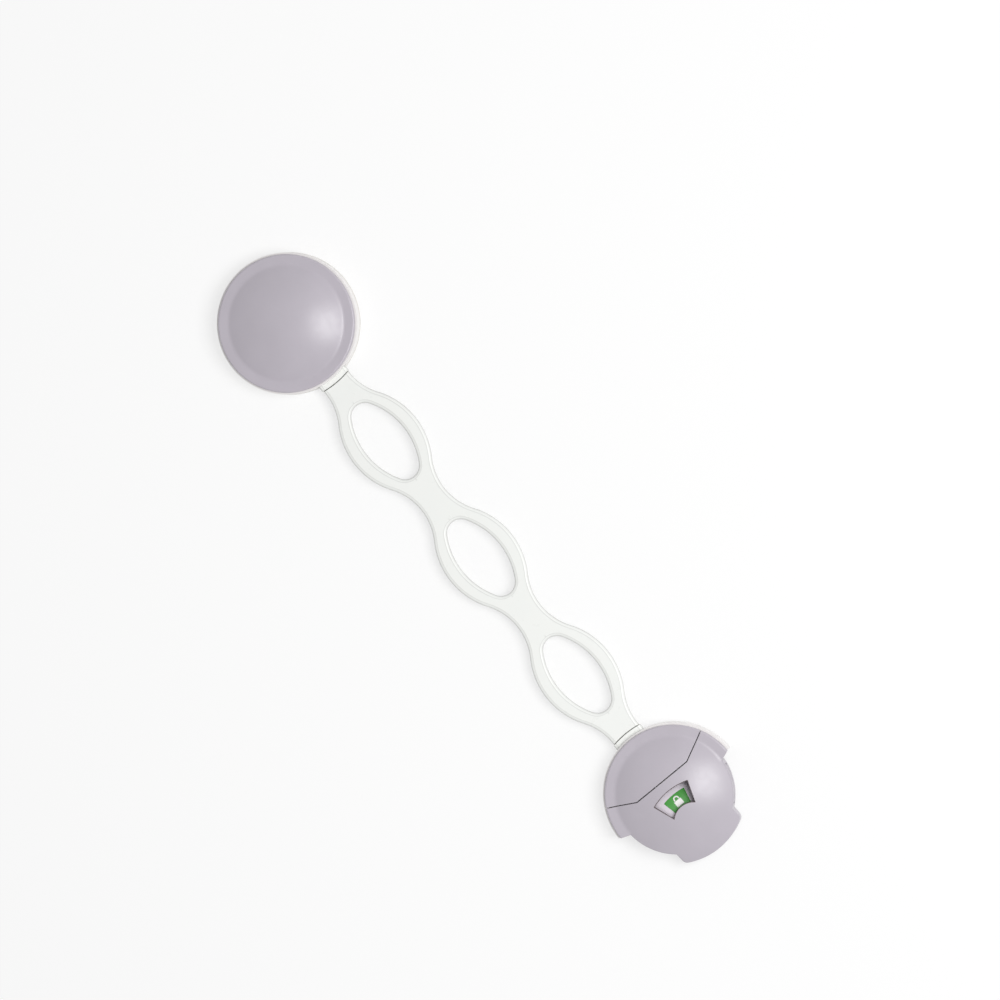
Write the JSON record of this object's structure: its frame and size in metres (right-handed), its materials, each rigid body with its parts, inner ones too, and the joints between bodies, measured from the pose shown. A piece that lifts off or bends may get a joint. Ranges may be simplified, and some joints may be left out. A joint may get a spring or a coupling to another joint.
{
  "type": "cabinet safety lock",
  "caption": "Strap lock for a cabinet door: two round adhesive ends joined by a flexible strap with oval eyes, a squeeze-release end and a window with a lock flag.",
  "frame": {"origin": "centre of the fixed end's adhesive face, where it meets the furniture", "axes": "+X along the strap to the lock end, +Z out of the furniture, +Y to the left when looking along the strap from the fixed end"},
  "size_m": [0.2446, 0.0466, 0.0135],
  "materials": {
    "lilac_cap": "glossy moulded lilac-grey plastic",
    "lilac_button": "satin moulded lilac-grey plastic",
    "white_plastic": "satin moulded white plastic",
    "strap": "milky translucent flexible plastic",
    "base_plastic": "white moulded plastic",
    "adhesive": "white double-sided foam",
    "spring_steel": "bright spring wire and leaf",
    "screw_steel": "zinc-plated steel",
    "flag_plastic": "pale moulded plastic",
    "green_label": "printed green film",
    "red_label": "printed red film"
  },
  "bodies": {
    "fixed_end": {"fixed_pad": "adhesive", "fixed_base": "white_plastic", "fixed_cap": "lilac_cap", "strap_fixed_tail": "strap"},
    "strap_1": {"strap_link_1": "strap"},
    "strap_2": {"strap_link_2": "strap"},
    "strap_3": {"strap_link_3": "strap"},
    "lock_head": {"strap_lock_tail": "strap", "head_frame": "white_plastic", "front_cap": "lilac_cap", "rear_cap": "lilac_cap", "cap_screws": "screw_steel", "latch_spring": "spring_steel", "left_return_spring": "spring_steel", "right_return_spring": "spring_steel", "flag_return_spring": "spring_steel"},
    "left_button_body": {"left_button": "lilac_button"},
    "right_button_body": {"right_button": "lilac_button"},
    "flag": {"flag_arm": "flag_plastic", "flag_green_label": "green_label", "flag_red_label": "red_label"},
    "glued_base": {"lock_base": "base_plastic", "lock_pad": "adhesive"}
  },
  "joints": [
    {"name": "fixed_end_fold", "type": "hinge", "parent": "fixed_end", "child": "strap_1", "pos_m": [0.0253, 0, 0.0034], "axis": [0, 1, 0], "range_deg": [-10, 90], "stiffness_Nm_per_rad": 0.01},
    {"name": "strap_flex_1", "type": "hinge", "parent": "strap_1", "child": "strap_2", "pos_m": [0.0746, 0, 0.004], "axis": [0, 1, 0], "range_deg": [-45, 45], "stiffness_Nm_per_rad": 0.06},
    {"name": "strap_flex_2", "type": "hinge", "parent": "strap_2", "child": "strap_3", "pos_m": [0.1239, 0, 0.004], "axis": [0, 1, 0], "range_deg": [-45, 45], "stiffness_Nm_per_rad": 0.06},
    {"name": "lock_end_fold", "type": "hinge", "parent": "strap_3", "child": "lock_head", "pos_m": [0.1732, 0, 0.0034], "axis": [0, 1, 0], "range_deg": [-10, 90], "stiffness_Nm_per_rad": 0.01},
    {"name": "left_button_squeeze", "type": "slide", "parent": "lock_head", "child": "left_button_body", "axis": [0, -1, 0], "range_m": [0, 0.0018], "stiffness_N_per_m": 600, "deforming": ["left_return_spring", "latch_spring"]},
    {"name": "right_button_squeeze", "type": "slide", "parent": "lock_head", "child": "right_button_body", "axis": [0, 1, 0], "range_m": [0, 0.0018], "stiffness_N_per_m": 600, "deforming": ["right_return_spring"]},
    {"name": "base_release", "type": "slide", "parent": "lock_head", "child": "glued_base", "axis": [0, 0, -1], "range_m": [0, 0.015]},
    {"name": "flag_swing", "type": "hinge", "parent": "lock_head", "child": "flag", "pos_m": [0.2172, 0, 0.0046], "axis": [0, 0, -1], "range_deg": [0, 34], "deforming": ["flag_return_spring"]}
  ],
  "couplings": [
    {"joint": "flag_swing", "follows": "base_release", "rad_per_m": 39.5}
  ]
}
